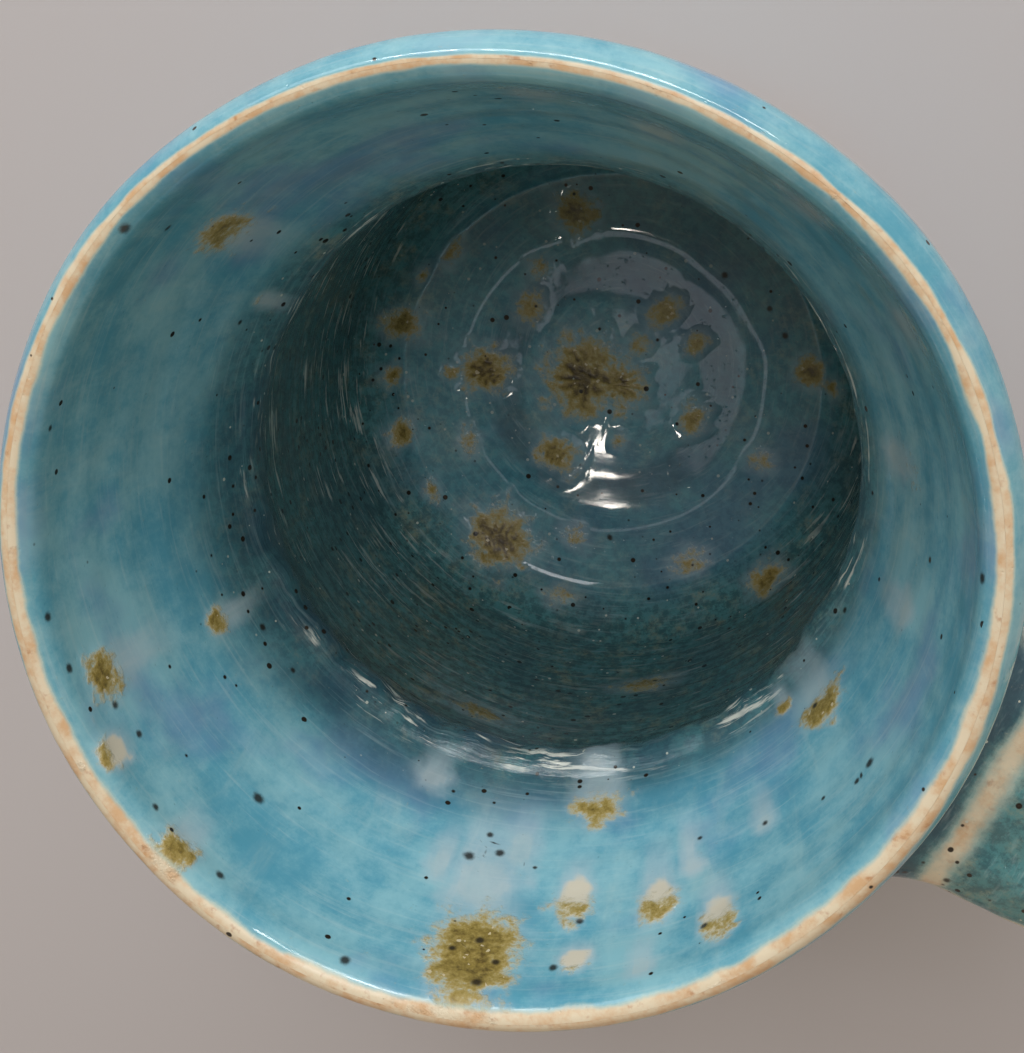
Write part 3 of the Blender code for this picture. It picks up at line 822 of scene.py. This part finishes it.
# %% [markdown]
# The glaze is a glassy turquoise stoneware glaze, IOR about 1.5, fired smooth. Copper colours it, and it
# is never even: it is teal where it is thick, paler and streaked where it ran, violet-blue in patches,
# and in the chamber a fine olive haze dulls it. That duller colour and a dark blue are also painted shade:
# round the waist, higher up on the left, over the handle and at its roots. Crystals are gritty, and a
# little duller than the wet shine round them.

# %% Find where the patterns lie
MARKS = ("crystal", "milk", "thin", "deep", "pool", "ridged", "speck_near")
WAYS = ("lap", "speck_way")


def places_in(tree, shift):
    """Where patterns lie: a spot, one drawn out down the wall, and the coat's own marks by name."""
    place = add(tree, "TexCoord").outputs["Object"]
    spot = add(tree, "Mapping", {"Vector": place, "Location": (shift, 0.0, 0.0)})
    at = {"spot": spot, "drawn": add(tree, "Mapping", {"Vector": spot, "Scale": (1.0, 1.0, 0.12)})}
    for label in MARKS + WAYS:
        mark = add(tree, "Attribute", attribute_name=label)
        at[label] = mark.outputs["Vector" if label in WAYS else "Fac"]
    return at


# %% Colour the copper body and the duller chamber


def copper_body(tree, at):
    """Teal and turquoise clouds, violet-blue patches and pale runs: the colour, the patches and the runs."""
    cloud = patches(tree, at["spot"], 11, 8.0, 0.72, 0.36, 0.64)
    colour = add(tree, "Mix", {"Factor": cloud, "A": linear("#5aa1b9"), "B": linear("#8bc0cd")}, **RGB)
    patch = patches(tree, at["spot"], 15, 4.0, 0.5, 0.50, 0.70, 0.7)
    colour = add(tree, "Mix", {"Factor": patch, "A": colour, "B": linear("#6f93ba")}, **RGB)
    run = add(tree, "TexNoise", {"Vector": at["drawn"], "Scale": per_mm(4), "Detail": 6.0, "Roughness": 0.62,
                                 "Distortion": 0.6})
    pale = {"Value": run, "From Min": 0.50, "From Max": 0.80, "To Max": 0.26}
    pale = add(tree, "MapRange", pale, **SMOOTH)
    colour = add(tree, "Mix", {"Factor": pale, "A": colour, "B": linear("#bcd3d1")}, **RGB)
    return colour, patch, run


def thick_glaze_and_shade(tree, at, colour, patch):
    """The chamber's thicker, duller glaze: an olive haze of unmelted crystals, and ink-blue pools, which
    also serve as painted shade.
    """
    haze = patches(tree, at["spot"], 5, 8.0, 0.75, 0.47, 0.72)
    dull = add(tree, "Mix", {"Factor": haze, "A": linear("#568f92"), "B": linear("#98997f")}, **RGB)
    dull = add(tree, "Mix", {"Factor": patch, "A": dull, "B": linear("#50757c")}, **RGB)
    fleck = patches(tree, at["spot"], 1.3, 6.0, 0.75, 0.41, 0.60, 0.75)
    dull = add(tree, "Mix", {"Factor": fleck, "A": dull, "B": linear("#37595f")}, **RGB)
    # Duller colour where the deep mark is set: the chamber's thicker glaze, and painted shade higher up on
    # the left and over the whole handle.
    colour = add(tree, "Mix", {"Factor": at["deep"], "A": colour, "B": dull}, **RGB)
    # Dark blue: painted shade round the waist and at the handle's roots, and glaze collected in the floor's
    # ring.
    colour = add(tree, "Mix", {"Factor": at["pool"], "A": colour, "B": linear("#2f4c5e")}, **RGB)
    return colour


# %% [markdown]
# Where the glaze lies thin over fine throwing lines, pale strokes run round the wall. On the ridges in the
# chamber short white lines are painted glints, highlights put into the colour. The coat's own lap, which is
# its way round the mug and its distance down the wall, stretches both patterns round.

# %% Draw the throwing lines and the milky trails


def throwing_lines(tree, at, colour):
    """Pale strokes on the wall and painted white glints on ridges: the colour, the strokes and the ridges.
    """
    stroke = add(tree, "Mapping", {"Vector": at["lap"], "Scale": (3.6, 3.6, 1.9)})
    stroke = add(tree, "TexNoise", {"Vector": stroke, "Scale": 1.0, "Detail": 4.0, "Roughness": 0.6,
                                    "Distortion": 0.5})
    pale = {"Value": stroke, "From Min": 0.50, "From Max": 0.80, "To Max": 0.28}
    pale = add(tree, "MapRange", pale, **SMOOTH)
    colour = add(tree, "Mix", {"Factor": pale, "A": colour, "B": linear("#bed4d6")}, **RGB)
    ridge = add(tree, "Mapping", {"Vector": at["lap"], "Scale": (5.0, 5.0, 1.6)})
    ridge = add(tree, "TexNoise", {"Vector": ridge, "Scale": 1.0, "Detail": 5.0, "Roughness": 0.6})
    broken = patches(tree, at["spot"], 7, 2.0, 0.5, 0.46, 0.56)
    broken = add(tree, "Math", {0: broken, 1: at["ridged"]}, operation="MULTIPLY")
    # Painted highlight: short white glint lines on the ridges.
    line = add(tree, "MapRange", {"Value": ridge, "From Min": 0.55, "From Max": 0.63}, **SMOOTH)
    line = add(tree, "Math", {0: line, 1: broken}, operation="MULTIPLY")
    colour = add(tree, "Mix", {"Factor": line, "A": colour, "B": linear("#e3e6dd")}, **RGB)
    return colour, stroke, ridge


def milky_trails(tree, at, colour, run):
    """Milky trails, broken into threads by the runs, and the pearly middle of a bloom."""
    thread = add(tree, "MapRange", {"Value": run, "From Min": 0.30, "From Max": 0.62, "To Min": 0.6})
    veil = add(tree, "Math", {0: at["milk"], 1: thread}, operation="MULTIPLY")
    veil = add(tree, "MapRange", {"Value": veil, "From Max": 0.6, "To Max": 0.9})
    colour = add(tree, "Mix", {"Factor": veil, "A": colour, "B": linear("#b6c8d0")}, **RGB)
    pearl = add(tree, "MapRange", {"Value": at["milk"], "From Min": 0.42, "From Max": 0.80}, **SMOOTH)
    colour = add(tree, "Mix", {"Factor": pearl, "A": colour, "B": linear("#d6cfbd")}, **RGB)
    return colour


# %% [markdown]
# Crystals run from a tan fringe through gold and olive to dark brown grit. A colour ramp gives that from one
# number, which is how much crystal there is plus a fine grain, so every bloom has a ragged edge.

# %% Grow the crystals and wear the rim thin


def crystal_crust(tree, at, colour):
    """Crystals with a few cream grains that are partly painted glints: the colour, the fine grain and where
    the crust is.
    """
    grain = add(tree, "TexNoise", {"Vector": at["spot"], "Scale": per_mm(0.9), "Detail": 5.0,
                                   "Roughness": 0.7})
    level = add(tree, "Math", {0: grain, 1: 1.0, 2: -0.5}, operation="MULTIPLY_ADD")
    level = add(tree, "Math", {0: level, 1: at["crystal"]}, operation="ADD")
    crust = add(tree, "MapRange", {"Value": level, "From Min": 0.12, "From Max": 0.52}, **SMOOTH)
    ramp = add(tree, "ValToRGB", {"Fac": level})
    for stop, code in ((0.32, "#c8ba8c"), (0.48, "#ae9b5f"), (0.64, "#927f42"), (0.82, "#63532c")):
        ramp.color_ramp.elements.new(stop).color = linear(code)
    ramp.color_ramp.elements[0].color = linear("#b9b7a4")
    ramp.color_ramp.elements[-1].color = linear("#33271b")
    grit = add(tree, "TexVoronoi", {"Vector": at["spot"], "Scale": per_mm(0.34)})
    hue = add(tree, "SeparateColor", {"Color": grit.outputs["Color"]})
    # Cream grains: cream specks that also stand in for glints, a painted highlight.
    cream = add(tree, "Math", {0: hue.outputs[1], 1: 0.985}, operation="GREATER_THAN")
    gold = add(tree, "Mix", {"Factor": cream, "A": ramp, "B": linear("#cdbf9c")}, **RGB)
    colour = add(tree, "Mix", {"Factor": crust, "A": colour, "B": gold}, **RGB)
    return colour, grain, crust


def thin_edges(tree, at, colour, grain):
    """Thin glaze that fades to pale green and then breaks to buff with rusty freckles, and its fringe."""
    fray = add(tree, "Math", {0: grain, 1: 0.4, 2: -0.2}, operation="MULTIPLY_ADD")
    fray = add(tree, "Math", {0: fray, 1: at["thin"]}, operation="ADD")
    fringe = {"Value": fray, "From Min": 0.06, "From Max": 0.45, "To Max": 0.6}
    fringe = add(tree, "MapRange", fringe, **SMOOTH)
    colour = add(tree, "Mix", {"Factor": fringe, "A": colour, "B": linear("#bccfc4")}, **RGB)
    worn = add(tree, "MapRange", {"Value": fray, "From Min": 0.30, "From Max": 0.80}, **SMOOTH)
    peach = patches(tree, at["spot"], 4, 5.0, 0.65, 0.40, 0.65)
    buff = add(tree, "Mix", {"Factor": peach, "A": linear("#e4d8be"), "B": linear("#d6b188")}, **RGB)
    rust = patches(tree, at["spot"], 1.6, 4.0, 0.6, 0.58, 0.76, 0.65)
    buff = add(tree, "Mix", {"Factor": rust, "A": buff, "B": linear("#b0713f")}, **RGB)
    colour = add(tree, "Mix", {"Factor": worn, "A": colour, "B": buff}, **RGB)
    return colour, fringe


# %% [markdown]
# Iron in the clay bleeds through the glaze as dark specks, and tiny white dots in the chamber are painted
# glints.
# The placed specks come from the coat. The finer ones are cells of a Voronoi texture, of which a few are
# picked by their random colour.

# %% Add specks and painted glints


def iron_specks(tree, at, colour, grain):
    """Iron specks: the placed ones and a fine pepper of all sizes."""
    length = add(tree, "VectorMath", {0: at["speck_way"]}, operation="LENGTH")
    lumpy = add(tree, "Math", {0: grain, 1: 1.1, 2: length.outputs["Value"]}, operation="MULTIPLY_ADD")
    iron = {"Value": lumpy, "From Min": 1.95, "From Max": 0.95, "To Max": 0.92}
    iron = add(tree, "MapRange", iron, **SMOOTH)
    iron = add(tree, "Math", {0: iron, 1: at["speck_near"]}, operation="MULTIPLY")
    pepper = add(tree, "TexVoronoi", {"Vector": at["spot"], "Scale": per_mm(1.5)})
    chosen = add(tree, "SeparateColor", {"Color": pepper.outputs["Color"]})
    least = add(tree, "MapRange", {"Value": at["deep"], "To Min": 0.90, "To Max": 0.16})
    size = add(tree, "MapRange", {"Value": chosen.outputs[0], "From Min": least, "To Max": 0.27})
    dot = add(tree, "Math", {0: size, 1: pepper.outputs["Distance"]}, operation="SUBTRACT")
    dot = add(tree, "Math", {0: dot, 1: 16.0}, operation="MULTIPLY", use_clamp=True)
    iron = add(tree, "Math", {0: iron, 1: dot}, operation="MAXIMUM")
    colour = add(tree, "Mix", {"Factor": iron, "A": colour, "B": linear("#2a241e")}, **RGB)
    return colour


def painted_white_glints(tree, at, colour):
    """Tiny white dots in the chamber: painted glints."""
    fine = add(tree, "TexVoronoi", {"Vector": at["spot"], "Scale": per_mm(0.8)})
    picked = add(tree, "SeparateColor", {"Color": fine.outputs["Color"]})
    picked = add(tree, "MapRange", {"Value": picked.outputs[0], "From Min": 0.91, "To Max": 0.30})
    seed = add(tree, "Math", {0: picked, 1: fine.outputs["Distance"]}, operation="SUBTRACT")
    seed = add(tree, "Math", {0: seed, 1: 30.0}, operation="MULTIPLY", use_clamp=True)
    seed = add(tree, "Math", {0: seed, 1: at["deep"]}, operation="MULTIPLY")
    colour = add(tree, "Mix", {"Factor": seed, "A": colour, "B": linear("#c9cfc4")}, **RGB)
    return colour


# %% [markdown]
# The shine is wet, and duller on crystals and on the thin rim. What is too fine for the mesh is a bump with
# its heights in millimetres: an orange peel, throwing lines, ridges in the chamber, grit and pinholes.

# %% Mix the running turquoise glaze


def glaze_bump(tree, at, layers):
    """Bump from layers, each a pattern, its height in mm and its share, over an orange peel."""
    peel = add(tree, "TexNoise", {"Vector": at["spot"], "Scale": per_mm(0.45), "Detail": 2.0})
    height = add(tree, "Math", {0: peel, 1: 0.0012}, operation="MULTIPLY")
    hole = add(tree, "TexVoronoi", {"Vector": at["spot"], "Scale": per_mm(1.3)})
    hole = add(tree, "MapRange", {"Value": hole.outputs["Distance"], "From Min": 0.12, "From Max": 0.02})
    for layer, tall, share in (*layers, (hole, -0.03, 1.0)):
        part = add(tree, "Math", {0: layer, 1: share}, operation="MULTIPLY")
        height = add(tree, "Math", {0: part, 1: tall, 2: height}, operation="MULTIPLY_ADD")
    return add(tree, "Bump", {"Height": height, "Strength": 1.0, "Distance": MM})


def running_glaze(name, shift):
    """Turquoise reactive glaze that reads the coat's own marks; shift moves its random patterns."""
    material, tree, shader = new_material(name)
    at = places_in(tree, shift)
    colour, patch, run = copper_body(tree, at)
    colour = thick_glaze_and_shade(tree, at, colour, patch)
    colour, stroke, ridge = throwing_lines(tree, at, colour)
    colour = milky_trails(tree, at, colour, run)
    colour, grain, crust = crystal_crust(tree, at, colour)
    colour, fringe = thin_edges(tree, at, colour, grain)
    colour = iron_specks(tree, at, colour, grain)
    colour = painted_white_glints(tree, at, colour)
    tree.links.new(colour.outputs[2], shader.inputs["Base Color"])
    rough = add(tree, "Math", {0: crust, 1: 0.14, 2: 0.05}, operation="MULTIPLY_ADD")
    rough = add(tree, "Math", {0: fringe, 1: 0.45, 2: rough}, operation="MULTIPLY_ADD")
    tree.links.new(rough.outputs[0], shader.inputs["Roughness"])
    shader.inputs["IOR"].default_value = 1.52
    wall = add(tree, "MapRange", {"Value": at["deep"], "From Max": 0.5, "To Min": 1.0, "To Max": 0.0})
    bump = glaze_bump(tree, at, ((stroke, 0.012, wall), (ridge, 0.20, at["ridged"]), (grain, 0.16, crust)))
    tree.links.new(bump.outputs[0], shader.inputs["Normal"])
    return material


for piece, name, shift in ((liner, "poured_turquoise_glaze", 0.0), (outer, "dipped_turquoise_glaze", 0.31),
                           (handle, "brushed_turquoise_glaze", 0.57)):
    piece.data.materials.append(running_glaze(name, shift))
    print(piece.name, "glazed")

# %% [markdown]
# Stoneware is fired clay with coarse grog in it: matt, warm buff, with dark iron grains and a toothy
# surface. It shows on the foot, and the packed clay pieces inside the handle have it too.

# %% Fire the stoneware


def stoneware(name, tone):
    """Unglazed buff stoneware; tone is its main colour."""
    material, tree, shader = new_material(name)
    place = add(tree, "TexCoord").outputs["Object"]
    toast = patches(tree, place, 6, 6.0, 0.65, 0.40, 0.70)
    colour = add(tree, "Mix", {"Factor": toast, "A": linear(tone), "B": linear("#a9804f")}, **RGB)
    grog = add(tree, "TexVoronoi", {"Vector": place, "Scale": per_mm(1.1)})
    chosen = add(tree, "SeparateColor", {"Color": grog.outputs["Color"]})
    grain = add(tree, "MapRange", {"Value": grog.outputs["Distance"], "From Min": 0.24, "From Max": 0.14})
    dark = add(tree, "Math", {0: chosen.outputs[0], 1: 0.78}, operation="GREATER_THAN")
    dark = add(tree, "Math", {0: dark, 1: grain}, operation="MULTIPLY")
    colour = add(tree, "Mix", {"Factor": dark, "A": colour, "B": linear("#3b2a1c")}, **RGB)
    tree.links.new(colour.outputs[2], shader.inputs["Base Color"])
    tooth = add(tree, "TexNoise", {"Vector": place, "Scale": per_mm(0.5), "Detail": 5.0, "Roughness": 0.7})
    rough = add(tree, "Math", {0: tooth, 1: 0.2, 2: 0.72}, operation="MULTIPLY_ADD")
    tree.links.new(rough.outputs[0], shader.inputs["Roughness"])
    bump = add(tree, "Bump", {"Height": tooth, "Strength": 0.6, "Distance": 0.12 * MM})
    tree.links.new(bump.outputs[0], shader.inputs["Normal"])
    return material


clay = stoneware("buff_stoneware", "#c8a67c")
slip = stoneware("joining_slip", "#bd9a70")
body.data.materials.append(clay)
for node, finish in (("strap_handle", clay), ("upper_handle_joint", slip), ("lower_handle_joint", slip)):
    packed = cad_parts[node]
    packed.data.materials.clear()
    packed.data.materials.append(finish)
print("clay finishes:", clay.name, slip.name)

# %% [markdown]
# ## Floor and light
# The floor is pale and matt. Five flat lamps light the mug: a wide window at the picture's upper side, a
# bright pane in that window, a skylight above it, a dim ceiling panel that the wet floor of the mug mirrors
# as a lavender ring, and a small lamp that leaves a sharp highlight there. One big lamp could light the mug
# evenly, but each of these mirror images needs a lamp of its own. The room is bright all round and dark
# overhead, so that the panel's image stands out.

# %% Set the floor, the lamps and the sky
scene = bpy.context.scene
scene.view_settings.view_transform = "Standard"
FLOOR_SIZE = 8.0
AIM_HEIGHT = 0.06
mesh = bpy.data.meshes.new("studio_floor")
corner = FLOOR_SIZE / 2
mesh.from_pydata([(-corner, -corner, 0), (corner, -corner, 0), (corner, corner, 0), (-corner, corner, 0)],
                 [], [(0, 1, 2, 3)])
floor = bpy.data.objects.new("studio_floor", mesh)
scene.collection.objects.link(floor)
paper, _, shader = new_material("pale_matt_paper")
shader.inputs["Base Color"].default_value = linear("#c1bdbf")
shader.inputs["Roughness"].default_value = 0.9
mesh.materials.append(paper)


def soft_lamp(name, azimuth, elevation, distance, wide, tall, radiance, colour):
    """A flat lamp that faces the mug's mouth, with its brightness as seen in a mirror."""
    data = bpy.data.lights.new(name, "AREA")
    data.shape = "RECTANGLE"
    data.size, data.size_y = wide, tall
    data.energy = radiance * math.pi * wide * tall
    data.color = linear(colour)[:3]
    lamp = bpy.data.objects.new(name, data)
    rise = math.radians(elevation)
    way = bearing(azimuth) * math.cos(rise) + Vector((0, 0, math.sin(rise)))
    lamp.location = Vector((0, 0, AIM_HEIGHT)) + way * distance
    lamp.rotation_euler = way.to_track_quat("Z", "Y").to_euler()
    scene.collection.objects.link(lamp)


# Bearing and elevation in degrees, then distance, width and height in metres, brightness and colour
soft_lamp("window_light", 130.0, 28.0, 0.90, 0.95, 0.30, 2.9, "#e8f4ff")
soft_lamp("bright_pane", 113.0, 28.0, 0.90, 0.90, 0.06, 20.0, "#fffdf8")
soft_lamp("skylight", 104.0, 66.0, 1.00, 0.36, 0.36, 5.6, "#fbfaff")
soft_lamp("ceiling_panel", 266.7, 78.0, 2.00, 0.22, 0.22, 1.00, "#eef0fb")
soft_lamp("small_lamp", 270.3, 70.6, 0.80, 0.018, 0.030, 40.0, "#fff6ea")
world = bpy.data.worlds.new("room_light")
world.use_nodes = True
scene.world = world
tree = world.node_tree
way = add(tree, "SeparateXYZ", {"Vector": add(tree, "TexCoord").outputs["Generated"]})
overhead = add(tree, "MapRange", {"Value": way.outputs["Z"], "From Min": 0.78, "From Max": 0.94}, **SMOOTH)
strength = add(tree, "MapRange", {"Value": overhead, "To Min": 0.48, "To Max": 0.16})
sky = tree.nodes["Background"]
sky.inputs["Color"].default_value = linear("#fae6cc")
tree.links.new(strength.outputs[0], sky.inputs["Strength"])
